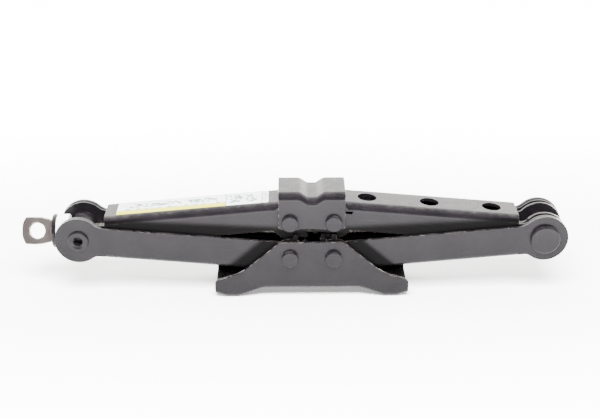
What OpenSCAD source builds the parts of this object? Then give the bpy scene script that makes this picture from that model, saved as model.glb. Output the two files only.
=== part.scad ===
// Scissor jack for a car, in its closed state.
// X runs along the lead screw with the turning eye at -X, Y runs across the jack and Z is up.
// The parts are drawn with the base's middle at X = 0, and are then moved along X so that the origin is on the
// ground under the middle of the whole closed jack. All sizes are in millimetres.

/* [Linkage] */
// Distance between the two pivots of every arm
arm_length = 165; // [140:5:200]
// Distance between the two pins of each bracket, which is also the gears' pitch diameter
pin_spacing = 34; // [32:1:40]
// Height of the saddle pins over the base pins when the jack is closed
closed_rise = 28.6; // [28:0.1:36]
// Height of the base pins over the ground
base_pin_height = 34; // [27:0.5:41]

/* [Sheet steel] */
// Thickness of every pressed sheet part
sheet_t = 2.6; // [2.4:0.1:3.2]
// Outer radius of the bends between a web and its flanges
bend_r = 4.5; // [4:0.5:6]
// Outer radius of the upper arms' bends
upper_bend_r = 6; // [4:0.5:7]
// Outer radius of the saddle's bends
saddle_bend_r = 6; // [4:0.5:7]

/* [Widths] */
// Width of the upper arms over their flanges
upper_arm_w = 34.6; // [30:0.2:40]
// Gap on each side between the ears of an upper and a lower arm
nest_gap = 0.6; // [0.4:0.1:2]
// Gap on each side between an arm and the bracket around it
bracket_gap = 0.5; // [0.3:0.1:1]
// Width of the stiffener inside the upper right arm
stiffener_w = 23; // [21:0.5:25]

/* [Arms] */
// Radius of the lower arms' ears around a trunnion
ear_r = 18.2; // [15.5:0.1:19]
// Radius of the upper arms' ears around a trunnion
upper_ear_r = 17.8; // [15.5:0.1:19]
// Depth of a lower arm's web under its pivot line
lower_web_drop = 13.4; // [10.5:0.1:14]
// Height of a lower arm's flanges over its pivot line
lower_edge_rise = 11.5; // [9:0.1:13]
// Height of an upper arm's web over its pivot line
upper_web_rise = 15.2; // [13:0.1:16]
// Depth of an upper arm's flanges under its pivot line at the trunnion
upper_edge_drop = 7; // [5:0.1:8]
// Depth of an upper arm's flanges under its pivot line at the saddle
upper_edge_drop_inner = 6.5; // [3:0.1:8]
// Distance from a trunnion's axis to the end of a web
web_outer_gap = 21.5; // [20.5:0.1:26]
// Distance from a bracket pin's axis to the end of a web
web_inner_gap = 5; // [4:0.5:8]
// Fillet between an ear and a flange's free edge
ear_fillet_r = 14; // [8:1:24]
// Fillet between an ear and a web
web_fillet_r = 7; // [4:1:10]
// Diameter of the three lightening holes in the upper right web
web_hole_d = 14.8; // [10:0.2:16]
// Distance from the right trunnion to the first lightening hole
web_hole_start = 41.4; // [38:0.1:44]
// Distance between the lightening holes
web_hole_pitch = 49.2; // [40:0.1:50]
// Length of the stiffener's web
stiffener_web_l = 8; // [5:0.5:10]

/* [Gear sectors] */
// Teeth that a full gear of this pitch would have
gear_teeth = 12; // [10:1:14]
// Height of a tooth over the pitch circle
tooth_addendum = 1.6; // [1.2:0.1:1.7]
// Depth of a gap under the pitch circle
tooth_dedendum = 2.2; // [2:0.1:2.6]
// Pressure angle of the teeth, in degrees
pressure_angle = 20; // [18:1:25]
// Play between meshing flanks
gear_backlash = 0.5; // [0.3:0.05:0.8]

/* [Pins] */
// Diameter of the bracket pins
pin_d = 9; // [8:0.5:10]
// Diameter of the bracket pins' heads
pin_head_d = 13; // [12:0.5:14]
// Height of the bracket pins' heads
pin_head_h = 3.8; // [2:0.1:4]
// Play between a turning pin and its hole, on the radius
running_gap = 0.05; // [0.03:0.01:0.1]
// Play between faces that slide past each other
face_gap = 0.2; // [0.1:0.05:0.4]

/* [Base] */
// Length of the base over its toes
base_l = 152; // [140:1:170]
// Length of the base's flat top edge
base_top_l = 50; // [48:1:56]
// Height of the base's top edge over its pins
base_top_rise = 13.4; // [12.5:0.1:15.5]
// Distance from the middle to the foot of the base's slope
base_slope_end = 56; // [52:1:60]
// Depth of the foot of the slope under the pins
base_slope_drop = 13; // [10:0.1:15]
// Depth of the toes' upper corner under the pins
base_toe_drop = 19.4; // [15:0.1:21]
// Height of the raised middle of the base plate over the ground
base_arch_h = 7; // [3:0.1:8]
// Half the length of the raised middle
base_arch_half_l = 38; // [30:1:44]
// Distance from the middle to the start of a foot's flat face
foot_start = 57; // [52:1:60]
// Distance from the middle to the end of a foot's flat face
foot_end = 67; // [62:1:69]
// Height of the turned-up toes' underside over the ground
toe_lift = 3; // [1:0.1:4]

/* [Saddle] */
// Length of the saddle
saddle_l = 52; // [52:1:60]
// Height of the saddle's top over its pins
saddle_rise = 23.8; // [22.2:0.1:26]
// Depth of the saddle's flanges under its pins
saddle_drop = 5.5; // [4:0.1:6.5]
// Width of the saddle's groove at its mouth
groove_mouth_w = 19; // [16:0.5:22]
// Width of the groove's floor
groove_floor_w = 6.5; // [4:0.5:8]
// Depth of the groove
groove_depth = 4.2; // [3:0.1:5.2]

/* [Trunnions and screw] */
// Diameter of the trunnions' barrels
barrel_d = 21; // [20:0.5:22]
// Diameter of the trunnions' journals in the ears
journal_d = 14; // [12:0.5:16]
// Distance from the left trunnion's axis to the flat face that takes the thrust
thrust_face = 9; // [8.5:0.1:9.5]
// Diameter of the left trunnion's flared rims
flare_d = 16.2; // [16:0.1:18]
// Height of the flared rims
flare_h = 2; // [1.5:0.1:3]
// Diameter of the hollow in each end of the left trunnion
hollow_d = 7; // [5:0.5:8]
// Depth of the hollow
hollow_depth = 7; // [4:0.5:7]
// Diameter of the caps on the right trunnion
cap_d = 22.8; // [20:0.1:24]
// Height of the caps
cap_h = 4; // [3.5:0.1:5]
// Outer diameter of the screw's thread
screw_d = 12; // [11:0.5:12]
// Length of the thrust bearing
bearing_l = 9.6; // [8:0.1:12]
// Diameter of the thrust bearing
bearing_d = 26; // [24:0.5:26.4]
// Thickness of the collar against the thrust bearing
collar_t = 3.4; // [2.5:0.1:5]
// Diameter of the collar
collar_d = 26.6; // [25:0.1:26.8]
// Distance from the right trunnion's axis to the stop on the screw
stop_start = 11.5; // [11:0.5:14]
// Length of the stop on the screw
stop_l = 4; // [3:0.5:6]
// Diameter of the stop
stop_d = 15; // [13:0.5:15]

/* [Eye] */
// Diameter of the hole that takes the crank's hook
eye_hole_d = 12.4; // [10:0.1:13]
// Width of the eye plate
eye_w = 21.6; // [20:0.1:24]
// Thickness of the eye plate
eye_t = 6; // [5:0.5:8]
// Distance from the collar to the middle of the eye's hole
eye_reach = 12.6; // [12:0.1:16]
// Distance from the middle of the hole to the end of the eye plate
eye_end = 11.8; // [11:0.1:14]
// Width of the neck between the eye and the collar
neck_w = 17; // [14:0.5:20]
// Angle of the eye plate from upright, about the screw's axis
eye_tilt = 22; // [0:1:45]

/* [Label] */
// Length of the instruction label
label_l = 119; // [80:1:125]
// Width of the instruction label
label_w = 22.4; // [16:0.2:22.6]
// Distance from the left trunnion to the label
label_start = 30.6; // [24:0.1:32]
// Thickness of the label
label_t = 0.2; // [0.1:0.05:0.3]

/* [Hidden] */
$fn = 64;
arc_steps = 8;
cut = 1;                                          // how far a cutting tool runs past the stock
fuse = 0.5;                                       // how far a gear tooth's foot runs into its rim
ear_tuck = 0.05;                                  // how far a fillet's tip runs into its ear
label_lift = 0.02;                                // play under the label, where its glue would be

closed_angle = asin(closed_rise / 2 / arm_length);
trunnion_x = pin_spacing / 2 + arm_length * cos(closed_angle);
saddle_pin_height = base_pin_height + closed_rise;
screw_height = base_pin_height + closed_rise / 2;

lower_arm_w = upper_arm_w + 2 * (sheet_t + nest_gap);
saddle_w = upper_arm_w + 2 * (sheet_t + bracket_gap);
base_w = lower_arm_w + 2 * (sheet_t + bracket_gap);
left_barrel_l = upper_arm_w - 2 * sheet_t - 2 * face_gap;
right_barrel_l = stiffener_w - 2 * sheet_t - 2 * face_gap;

collar_x = -trunnion_x - thrust_face - bearing_l - face_gap;
eye_x = collar_x - collar_t - eye_reach;
// Half the difference between the jack's two ends, as measured from the base's middle
middle_shift = -(eye_x - eye_end + trunnion_x + ear_r) / 2;

pitch_r = pin_spacing / 2;
gear_tip_r = pitch_r + tooth_addendum;
gear_root_r = pitch_r - tooth_dedendum;
gear_base_r = pitch_r * cos(pressure_angle);
tooth_step = 360 / gear_teeth;

// ---- Outlines ----

function unit(v) = v / norm(v);

// The arc that rounds corner p between its neighbours a and b to radius r, or p itself where r is 0
function corner(a, p, b, r) =
    r <= 0 ? [p] :
    let (u = unit(a - p), w = unit(b - p))
    let (half = acos(max(-1, min(1, u * w))) / 2)
    let (c = p + unit(u + w) * r / sin(half))
    let (s = p + u * r / tan(half) - c, e = p + w * r / tan(half) - c)
    let (from = atan2(s[1], s[0]), turn = atan2(s[0] * e[1] - s[1] * e[0], s * e))
    [for (i = [0 : arc_steps]) c + r * [cos(from + turn * i / arc_steps), sin(from + turn * i / arc_steps)]];

// A closed outline from points [x, z, corner radius]
function rounded(pts) =
    let (n = len(pts), xz = [for (p = pts) [p[0], p[1]]])
    [for (i = [0 : n - 1]) each corner(xz[(i + n - 1) % n], xz[i], xz[(i + 1) % n], pts[i][2])];

// A plate between two values of Y, from an outline in X and Z
module plate(y0, y1) {
    translate([0, y1, 0]) rotate([90, 0, 0]) linear_extrude(y1 - y0) children();
}

// The pair of plates that face each other across a channel of outer width w
module flange_pair(w) {
    plate(-w / 2, -w / 2 + sheet_t) children();
    plate(w / 2 - sheet_t, w / 2) children();
}

// A round bar or hole along Y
module bar_y(d, l) {
    rotate([90, 0, 0]) cylinder(d = d, h = l, center = true);
}

// A round bar or hole along X from x0 to x1
module bar_x(d, x0, x1) {
    translate([x0, 0, 0]) rotate([0, 90, 0]) cylinder(d = d, h = x1 - x0);
}

// A pressed web with its two bends of outer radius r, flat side down at z = -drop, from x0 to x1
module bent_web(w, drop, x0, x1, r = bend_r) {
    inner_r = r - sheet_t;
    difference() {
        intersection() {
            translate([x0, -w / 2, -drop]) cube([x1 - x0, w, r]);
            union() {
                translate([x0, -w / 2 + r, -drop]) cube([x1 - x0, w - 2 * r, r]);
                for (side = [-1, 1])
                    translate([0, side * (w / 2 - r), r - drop]) bar_x(2 * r, x0, x1);
            }
        }
        translate([x0 - cut, -w / 2 + r, sheet_t - drop]) cube([x1 - x0 + 2 * cut, w - 2 * r, r]);
        for (side = [-1, 1])
            translate([0, side * (w / 2 - r), r - drop]) bar_x(2 * inner_r, x0 - cut, x1 + cut);
    }
}

// ---- Gear sectors ----

function involute(a) = tan(a) * 180 / PI - a;

// Half the angle that a tooth fills at radius r
function tooth_half(r) =
    let (play = gear_backlash / 4 / pitch_r * 180 / PI)
    tooth_step / 4 - play + involute(pressure_angle) - involute(acos(min(1, gear_base_r / r)));

// One flank's points as [radius, half angle]
function flank() =
    let (foot = gear_root_r - fuse)
    [[foot, tooth_half(gear_base_r)],
     for (i = [0 : 4]) let (r = gear_base_r + (gear_tip_r - gear_base_r) * i / 4) [r, tooth_half(r)]];

module tooth(angle) {
    f = flank();
    n = len(f);
    polygon([
        for (p = f) p[0] * [cos(angle - p[1]), sin(angle - p[1])],
        for (i = [n - 1 : -1 : 0]) f[i][0] * [cos(angle + f[i][1]), sin(angle + f[i][1])]
    ]);
}

// The toothed rim of an arm that points along +X and lies closed_angle over the horizontal. The teeth's
// places are world angles over the line between the bracket's pins.
module gear_sector(first_tooth) {
    circle(r = gear_root_r);
    for (i = [0 : 3]) tooth(180 - closed_angle - first_tooth - i * tooth_step);
}

// ---- Arms: modelled along +X from the bracket pin, with the web at -Z ----

// The fillet between an ear of radius r at the origin and an edge at height z on the ear's inner side. Its first
// point lies a little inside the ear, so that the two outlines cross cleanly.
module ear_fillet(r, z, fillet) {
    s = sign(z);
    c = [-sqrt(pow(r + fillet, 2) - pow(abs(z) + fillet, 2)), z + s * fillet];
    from = atan2(-c[1], -c[0]);
    turn = -s * 90 - from;
    polygon([
        [0, 0], unit(c) * (r - ear_tuck),
        for (i = [1 : arc_steps])
            c + fillet * [cos(from + turn * i / arc_steps), sin(from + turn * i / arc_steps)]
    ]);
}

// One flange's outline: gear sector, tapered blade, and ear
module flange_outline(first_tooth, web_drop, bend, neck_drop, edge_inner, edge_outer, r) {
    gear_sector(first_tooth);
    polygon([
        [web_inner_gap, bend - web_drop], [arm_length - web_outer_gap, bend - web_drop],
        [arm_length - web_outer_gap, -neck_drop], [arm_length, -neck_drop],
        [arm_length, edge_outer], [0, edge_inner], [0, -neck_drop], [web_inner_gap, -neck_drop]
    ]);
    translate([arm_length, 0]) {
        circle(r = r);
        ear_fillet(r, edge_outer, ear_fillet_r);
        ear_fillet(r, -neck_drop, web_fillet_r);
    }
}

module arm(w, first_tooth, web_drop, bend, neck_drop, edge_inner, edge_outer, r) {
    difference() {
        union() {
            flange_pair(w) flange_outline(first_tooth, web_drop, bend, neck_drop, edge_inner, edge_outer, r);
            bent_web(w, web_drop, web_inner_gap, arm_length - web_outer_gap, bend);
        }
        bar_y(pin_d + 2 * running_gap, w + 2 * cut);
        translate([arm_length, 0, 0]) bar_y(journal_d + 2 * running_gap, w + 2 * cut);
    }
}

module lower_arm(first_tooth) {
    arm(lower_arm_w, first_tooth, lower_web_drop, bend_r, lower_web_drop - bend_r / 3, lower_edge_rise,
        lower_edge_rise, ear_r);
}

module upper_arm(first_tooth) {
    arm(upper_arm_w, first_tooth, upper_web_rise, upper_bend_r, upper_web_rise - upper_bend_r,
        upper_edge_drop_inner, upper_edge_drop, upper_ear_r);
}

// Puts an arm that is modelled along +X at its closed place on the right of the jack
module at_base_pin() {
    translate([pin_spacing / 2, 0, base_pin_height]) rotate([0, -closed_angle, 0]) children();
}

module at_saddle_pin() {
    translate([pin_spacing / 2, 0, saddle_pin_height]) rotate([0, closed_angle, 0]) mirror([0, 0, 1]) children();
}

// The left arms carry a tooth half a step off the line between the pins, and the right arms a tooth on it
left_tooth = -tooth_step / 2;
right_tooth = 0;

module lower_left_arm() {
    color("dimgray") mirror([1, 0, 0]) at_base_pin() lower_arm(left_tooth);
}

module lower_right_arm() {
    color("dimgray") at_base_pin() lower_arm(right_tooth);
}

module upper_left_arm() {
    color("gray") mirror([1, 0, 0]) at_saddle_pin() upper_arm(left_tooth);
}

module upper_right_arm() {
    color("gray") at_saddle_pin() difference() {
        upper_arm(right_tooth);
        for (i = [0 : 2])
            translate([arm_length - web_hole_start - i * web_hole_pitch, 0, -upper_web_rise - cut])
                cylinder(d = web_hole_d, h = sheet_t + 2 * cut);
    }
}

// A short channel welded under the upper right arm's web, with ears that hold the nut between them
module upper_right_stiffener() {
    drop = upper_web_rise - sheet_t;
    web_end = arm_length - web_outer_gap;
    color("gray") at_saddle_pin() difference() {
        union() {
            flange_pair(stiffener_w) {
                translate([arm_length, 0]) {
                    circle(r = upper_ear_r);
                    ear_fillet(upper_ear_r, upper_edge_drop, ear_fillet_r);
                    ear_fillet(upper_ear_r, bend_r - drop, web_fillet_r);
                }
                polygon([
                    [web_end - stiffener_web_l, bend_r - drop], [arm_length, bend_r - drop],
                    [arm_length, upper_edge_drop], [web_end - stiffener_web_l, upper_edge_drop]
                ]);
            }
            bent_web(stiffener_w, drop, web_end - stiffener_web_l, web_end);
        }
        translate([arm_length, 0, 0]) bar_y(journal_d + 2 * running_gap, stiffener_w + 2 * cut);
    }
}

// ---- Brackets ----

// The base's side, from the ground line of the plate's underside up to the flanges' edge
function base_profile_under(lift) = [
    [-base_l / 2, toe_lift + lift, 0], [-foot_end, lift, 12], [-foot_start, lift, 12],
    [-base_arch_half_l, base_arch_h + lift, 20], [base_arch_half_l, base_arch_h + lift, 20],
    [foot_start, lift, 12], [foot_end, lift, 12], [base_l / 2, toe_lift + lift, 0]
];

function base_profile_top() = [
    [base_l / 2, base_pin_height - base_toe_drop, 2],
    [base_slope_end, base_pin_height - base_slope_drop, 26],
    [base_top_l / 2, base_pin_height + base_top_rise, 9],
    [-base_top_l / 2, base_pin_height + base_top_rise, 9],
    [-base_slope_end, base_pin_height - base_slope_drop, 26],
    [-base_l / 2, base_pin_height - base_toe_drop, 2]
];

module base_bracket() {
    inside_w = base_w - 2 * sheet_t;
    color("dimgray") difference() {
        plate(-base_w / 2, base_w / 2) polygon(rounded(concat(base_profile_under(0), base_profile_top())));
        plate(-inside_w / 2, inside_w / 2) polygon(rounded(concat(
            [[-base_l / 2 - cut, toe_lift + sheet_t, 0]],
            base_profile_under(sheet_t),
            [[base_l / 2 + cut, toe_lift + sheet_t, 0]],
            [for (s = [1, -1]) [s * (base_l / 2 + cut), base_pin_height + base_top_rise + cut, 0]]
        )));
        for (side = [-1, 1])
            translate([side * pin_spacing / 2, 0, base_pin_height]) bar_y(pin_d + 2 * running_gap, base_w + 2 * cut);
    }
}

// Half of the saddle's top line from the groove's floor outwards, lowered by one sheet where under is 1
function saddle_half(side, under) =
    let (slope = atan2(groove_depth, (groove_mouth_w - groove_floor_w) / 2))
    let (shift = under * sheet_t * tan(slope / 2), z = saddle_pin_height + saddle_rise - under * sheet_t)
    [[side * (groove_floor_w / 2 + shift), z - groove_depth, 2], [side * (groove_mouth_w / 2 + shift), z, 4]];

function flip(list) = [for (i = [len(list) - 1 : -1 : 0]) list[i]];

module saddle() {
    inside_w = saddle_w - 2 * sheet_t;
    floor_z = saddle_pin_height - saddle_drop;
    top_z = saddle_pin_height + saddle_rise;
    half_l = saddle_l / 2;
    color("slategray") difference() {
        intersection() {
            plate(-saddle_w / 2, saddle_w / 2) polygon(rounded(concat(
                [[-half_l, floor_z, 2], [-half_l, top_z, 0]],
                flip(saddle_half(-1, 0)), saddle_half(1, 0),
                [[half_l, top_z, 0], [half_l, floor_z, 2]]
            )));
            union() {
                translate([-half_l, -saddle_w / 2, floor_z]) cube([saddle_l, saddle_w, top_z - floor_z - saddle_bend_r]);
                translate([-half_l, -saddle_w / 2 + saddle_bend_r, floor_z])
                    cube([saddle_l, saddle_w - 2 * saddle_bend_r, top_z - floor_z]);
                for (side = [-1, 1])
                    translate([0, side * (saddle_w / 2 - saddle_bend_r), top_z - saddle_bend_r])
                        bar_x(2 * saddle_bend_r, -half_l, half_l);
            }
        }
        plate(-inside_w / 2, inside_w / 2) polygon(rounded(concat(
            [[-half_l - cut, floor_z - cut, 0], [-half_l - cut, top_z - sheet_t, 0]],
            flip(saddle_half(-1, 1)), saddle_half(1, 1),
            [[half_l + cut, top_z - sheet_t, 0], [half_l + cut, floor_z - cut, 0]]
        )));
        for (side = [-1, 1])
            translate([side * pin_spacing / 2, 0, saddle_pin_height])
                bar_y(pin_d + 2 * running_gap, saddle_w + 2 * cut);
    }
}

// ---- Pins ----

// A riveted pin across a bracket of outer width w, with a head at each end
module bracket_pin(side, height, w) {
    color("darkgray") translate([side * pin_spacing / 2, 0, height]) {
        bar_y(pin_d, w);
        for (end = [-1, 1])
            translate([0, end * (w + pin_head_h) / 2, 0]) bar_y(pin_head_d, pin_head_h);
    }
}

module base_left_pin() { bracket_pin(-1, base_pin_height, base_w); }
module base_right_pin() { bracket_pin(1, base_pin_height, base_w); }
module saddle_left_pin() { bracket_pin(-1, saddle_pin_height, saddle_w); }
module saddle_right_pin() { bracket_pin(1, saddle_pin_height, saddle_w); }

// ---- Trunnions ----

module left_trunnion() {
    ear_face = lower_arm_w / 2 + face_gap;
    color("gray") translate([-trunnion_x, 0, screw_height]) difference() {
        union() {
            bar_y(barrel_d, left_barrel_l);
            bar_y(journal_d, 2 * ear_face);
            for (end = [-1, 1])
                translate([0, end * (ear_face + flare_h / 2), 0]) bar_y(flare_d, flare_h);
        }
        translate([-barrel_d, -left_barrel_l / 2, -barrel_d])
            cube([barrel_d - thrust_face, left_barrel_l, 2 * barrel_d]);
        bar_x(screw_d + 2 * running_gap, -barrel_d, barrel_d);
        for (end = [-1, 1])
            translate([0, end * (ear_face + flare_h - hollow_depth / 2 + cut / 2), 0])
                bar_y(hollow_d, hollow_depth + cut);
    }
}

// How far the right trunnion's journals reach into the caps
cap_grip = cap_h - 1.5;

module right_trunnion() {
    color("gray") translate([trunnion_x, 0, screw_height]) difference() {
        union() {
            bar_y(barrel_d, right_barrel_l);
            bar_y(journal_d, lower_arm_w + 2 * (face_gap + cap_grip));
        }
        bar_x(screw_d + 2 * running_gap, -barrel_d, barrel_d);
    }
}

// A cap pressed on the right trunnion's end, with a rounded rim
module trunnion_cap(end) {
    rim_r = 1.2;
    face = lower_arm_w / 2 + face_gap;
    color("darkgray") translate([trunnion_x, end * face, screw_height]) rotate([-end * 90, 0, 0])
        rotate_extrude() difference() {
            union() {
                square([cap_d / 2, cap_h - rim_r]);
                square([cap_d / 2 - rim_r, cap_h]);
                translate([cap_d / 2 - rim_r, cap_h - rim_r]) circle(r = rim_r);
            }
            translate([0, -cut]) square([journal_d / 2, cap_grip + cut]);
            translate([-2 * rim_r, -cut]) square([2 * rim_r, cap_h + 2 * cut]);
        }
}

module right_front_cap() { trunnion_cap(-1); }
module right_rear_cap() { trunnion_cap(1); }

// ---- Screw ----

module lead_screw() {
    color("silver") translate([0, 0, screw_height])
        bar_x(screw_d, collar_x - collar_t, trunnion_x + stop_start + stop_l);
}

module screw_stop() {
    color("darkgray") translate([trunnion_x, 0, screw_height]) difference() {
        bar_x(stop_d, stop_start, stop_start + stop_l);
        bar_x(screw_d + 2 * running_gap, stop_start - cut, stop_start + stop_l + cut);
    }
}

module thrust_collar() {
    rim_r = 1.2;
    color("gray") translate([collar_x, 0, screw_height]) rotate([0, -90, 0]) rotate_extrude() difference() {
        union() {
            square([collar_d / 2 - rim_r, collar_t]);
            translate([0, rim_r]) square([collar_d / 2, collar_t - 2 * rim_r]);
            for (z = [rim_r, collar_t - rim_r]) translate([collar_d / 2 - rim_r, z]) circle(r = rim_r);
        }
        translate([-rim_r, -cut]) square([screw_d / 2 + running_gap + rim_r, collar_t + 2 * cut]);
    }
}

module thrust_bearing() {
    color("whitesmoke") translate([-trunnion_x, 0, screw_height]) difference() {
        bar_x(bearing_d, -thrust_face - bearing_l, -thrust_face);
        bar_x(screw_d + 2 * running_gap, -thrust_face - bearing_l - cut, cut - thrust_face);
    }
}

// The flat eye that the crank hooks into, with square outer corners and a waisted neck
module screw_eye() {
    half = eye_w / 2;
    color("gray") translate([0, 0, screw_height]) rotate([-eye_tilt, 0, 0]) translate([eye_x, 0, 0])
        difference() {
            plate(-eye_t / 2, eye_t / 2) polygon(rounded([
                [-eye_end + 3, -half, 1.5], [3, -half, 9], [eye_reach, -neck_w / 2, 4],
                [eye_reach, neck_w / 2, 4], [3, half, 9], [-eye_end + 3, half, 1.5],
                [-eye_end, half / 2, 12], [-eye_end, -half / 2, 12]
            ]));
            bar_y(eye_hole_d, eye_t + 2 * cut);
        }
}

// ---- Label ----

module instruction_label() {
    color("gold") mirror([1, 0, 0]) at_saddle_pin()
        translate([arm_length - label_start - label_l, -label_w / 2, -upper_web_rise - label_lift - label_t])
            cube([label_l, label_w, label_t]);
}

// Moves a part from the base's middle to the middle of the whole closed jack
module placed() {
    translate([middle_shift, 0, 0]) children();
}

placed() base_bracket();
placed() base_left_pin();
placed() base_right_pin();
placed() lower_left_arm();
placed() lower_right_arm();
placed() upper_left_arm();
placed() upper_right_arm();
placed() upper_right_stiffener();
placed() saddle();
placed() saddle_left_pin();
placed() saddle_right_pin();
placed() left_trunnion();
placed() right_trunnion();
placed() right_front_cap();
placed() right_rear_cap();
placed() lead_screw();
placed() screw_eye();
placed() thrust_collar();
placed() thrust_bearing();
placed() screw_stop();
placed() instruction_label();
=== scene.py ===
"""Looks of a closed scissor jack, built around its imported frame.

Lengths are written in millimetres and turned into metres by MM. Every finished piece sits at the origin, with
its place in its mesh.
"""

import logging
import math
from dataclasses import dataclass, field
from enum import Enum
from typing import Optional, Sequence

import bmesh
import bpy
from mathutils import Matrix, Vector


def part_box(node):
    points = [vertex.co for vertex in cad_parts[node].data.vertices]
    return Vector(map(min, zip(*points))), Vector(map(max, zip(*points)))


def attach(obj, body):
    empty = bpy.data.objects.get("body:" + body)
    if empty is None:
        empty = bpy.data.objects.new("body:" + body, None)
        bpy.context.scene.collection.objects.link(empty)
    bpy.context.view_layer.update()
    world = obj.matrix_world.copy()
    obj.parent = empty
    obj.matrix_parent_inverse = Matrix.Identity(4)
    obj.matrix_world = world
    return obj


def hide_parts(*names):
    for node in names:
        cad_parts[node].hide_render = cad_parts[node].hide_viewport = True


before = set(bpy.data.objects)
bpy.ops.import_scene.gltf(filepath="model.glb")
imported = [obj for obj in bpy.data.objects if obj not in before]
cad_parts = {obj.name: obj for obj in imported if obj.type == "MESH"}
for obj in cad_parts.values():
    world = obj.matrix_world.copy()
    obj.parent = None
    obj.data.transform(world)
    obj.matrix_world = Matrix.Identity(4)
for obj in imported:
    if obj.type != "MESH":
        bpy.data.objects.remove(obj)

log = logging.getLogger("jack")

MM = 0.001
SHEET = 2.6 * MM
BEND = 4.5 * MM
MERGE = 0.002 * MM
RIM_SHARE = 0.65

Point = tuple[float, float]
Colour = tuple[float, float, float, float]
Box = tuple[float, float, float, float]


class Side(Enum):
    """Which end of the jack a piece is on, as the sign of X."""

    LEFT = -1
    RIGHT = 1


class Level(Enum):
    """Whether an arm hangs on the base or on the saddle, as the sign of its web's height."""

    LOWER = -1
    UPPER = 1


class Axis(Enum):
    """The axis that a turned piece is turned about."""

    X = 0
    Y = 1


# ---- Places, read from the frame ----


def middle(node: str) -> Vector:
    """Middle of a CAD node's box.

    Args:
        node: name of the CAD node.

    Returns:
        The middle, in metres.
    """
    low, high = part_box(node)
    return (low + high) / 2


def extent(node: str) -> Vector:
    """Size of a CAD node's box.

    Args:
        node: name of the CAD node.

    Returns:
        The box's length along X, Y and Z, in metres.
    """
    low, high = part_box(node)
    return high - low


@dataclass(frozen=True)
class JackPlan:
    """The jack's axes and widths, all taken from the frame's boxes."""

    base_x: float
    base_pin_z: float
    saddle_pin_z: float
    pin_half: float
    trunnion_half: float
    screw_z: float
    base_w: float
    saddle_w: float
    upper_w: float

    @classmethod
    def from_frame(cls) -> "JackPlan":
        """Reads the plan from the frame.

        Returns:
            The plan.
        """
        base_x = middle("base_bracket").x
        nut = middle("right_trunnion")
        return cls(
            base_x=base_x,
            base_pin_z=middle("base_right_pin").z,
            saddle_pin_z=middle("saddle_right_pin").z,
            pin_half=middle("base_right_pin").x - base_x,
            trunnion_half=nut.x - base_x,
            screw_z=nut.z,
            base_w=extent("base_bracket").y,
            saddle_w=extent("saddle").y,
            upper_w=extent("upper_right_arm").y,
        )

    def trunnion_x(self, side: Side) -> float:
        """X of a trunnion's axis."""
        return self.base_x + side.value * self.trunnion_half

    def pin_x(self, side: Side) -> float:
        """X of a bracket pin's axis."""
        return self.base_x + side.value * self.pin_half


# ---- Mesh helpers ----


def mesh_object(name: str, bm: bmesh.types.BMesh) -> bpy.types.Object:
    """Turns a BMesh into an object at the origin, with smooth faces.

    Args:
        name: the piece's name.
        bm: the mesh, which is freed.

    Returns:
        The new object, in the scene.
    """
    for face in bm.faces:
        face.smooth = True
    mesh = bpy.data.meshes.new(name)
    bm.to_mesh(mesh)
    bm.free()
    piece = bpy.data.objects.new(name, mesh)
    bpy.context.scene.collection.objects.link(piece)
    return piece


def soften_edges(piece: bpy.types.Object, width: float, angle_deg: float = 32.0, segments: int = 3) -> None:
    """Rounds a piece's sharp edges and keeps its flats flat.

    Args:
        piece: the piece.
        width: width of the rounding, in metres.
        angle_deg: edges sharper than this are rounded.
        segments: steps across the rounding.
    """
    bevel = piece.modifiers.new("edges", "BEVEL")
    bevel.width = width
    bevel.segments = segments
    bevel.limit_method = "ANGLE"
    bevel.angle_limit = math.radians(angle_deg)
    bevel.use_clamp_overlap = False
    bevel.miter_outer = "MITER_SHARP"
    weighted = piece.modifiers.new("flats", "WEIGHTED_NORMAL")
    weighted.weight = 100
    weighted.keep_sharp = True
    settle(piece)
    mark_rims(piece, width * RIM_SHARE)


def mark_rims(piece: bpy.types.Object, widest: float) -> None:
    """Marks the rounded edges with the attribute rim, 1 on them and 0 elsewhere, for the paint's wear.

    Args:
        piece: the piece, without modifiers.
        widest: faces narrower than this belong to a rounding, in metres.
    """
    bm = bmesh.new()
    bm.from_mesh(piece.data)
    narrow = [face.calc_area() / max(edge.calc_length() for edge in face.edges) < widest for face in bm.faces]
    bm.faces.index_update()
    values = [1.0 if v.link_faces and all(narrow[f.index] for f in v.link_faces) else 0.0 for v in bm.verts]
    bm.free()
    layer = piece.data.attributes.new("rim", "FLOAT", "POINT")
    layer.data.foreach_set("value", values)


def settle(piece: bpy.types.Object) -> None:
    """Replaces a piece's mesh by what its modifiers make of it, and removes them.

    Args:
        piece: the piece.
    """
    depsgraph = bpy.context.evaluated_depsgraph_get()
    made = bpy.data.meshes.new_from_object(piece.evaluated_get(depsgraph), depsgraph=depsgraph)
    piece.modifiers.clear()
    piece.data = made
    made.name = piece.name


def copy_of(node: str) -> bmesh.types.BMesh:
    """A clean copy of a CAD node, with its loose triangles joined and its flats made whole.

    Args:
        node: name of the CAD node.

    Returns:
        The copy.
    """
    bm = bmesh.new()
    bm.from_mesh(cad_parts[node].data)
    bmesh.ops.remove_doubles(bm, verts=bm.verts, dist=MERGE)
    bmesh.ops.dissolve_limit(bm, angle_limit=math.radians(0.4), verts=bm.verts, edges=bm.edges)
    return bm


def slice_along(bm: bmesh.types.BMesh, origin: Vector, direction: Vector, start: float, end: float,
                steps: int) -> None:
    """Cuts rows of edges across a mesh, so that it can be bent smoothly.

    Args:
        bm: the mesh.
        origin: where distances are measured from.
        direction: unit vector along which they are measured.
        start: distance of the first cut.
        end: distance of the last cut.
        steps: number of spaces between the cuts.
    """
    for i in range(steps + 1):
        at = origin + direction * (start + (end - start) * i / steps)
        geometry = [*bm.verts, *bm.edges, *bm.faces]
        bmesh.ops.bisect_plane(bm, geom=geometry, dist=MERGE, plane_co=at, plane_no=direction)


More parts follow.
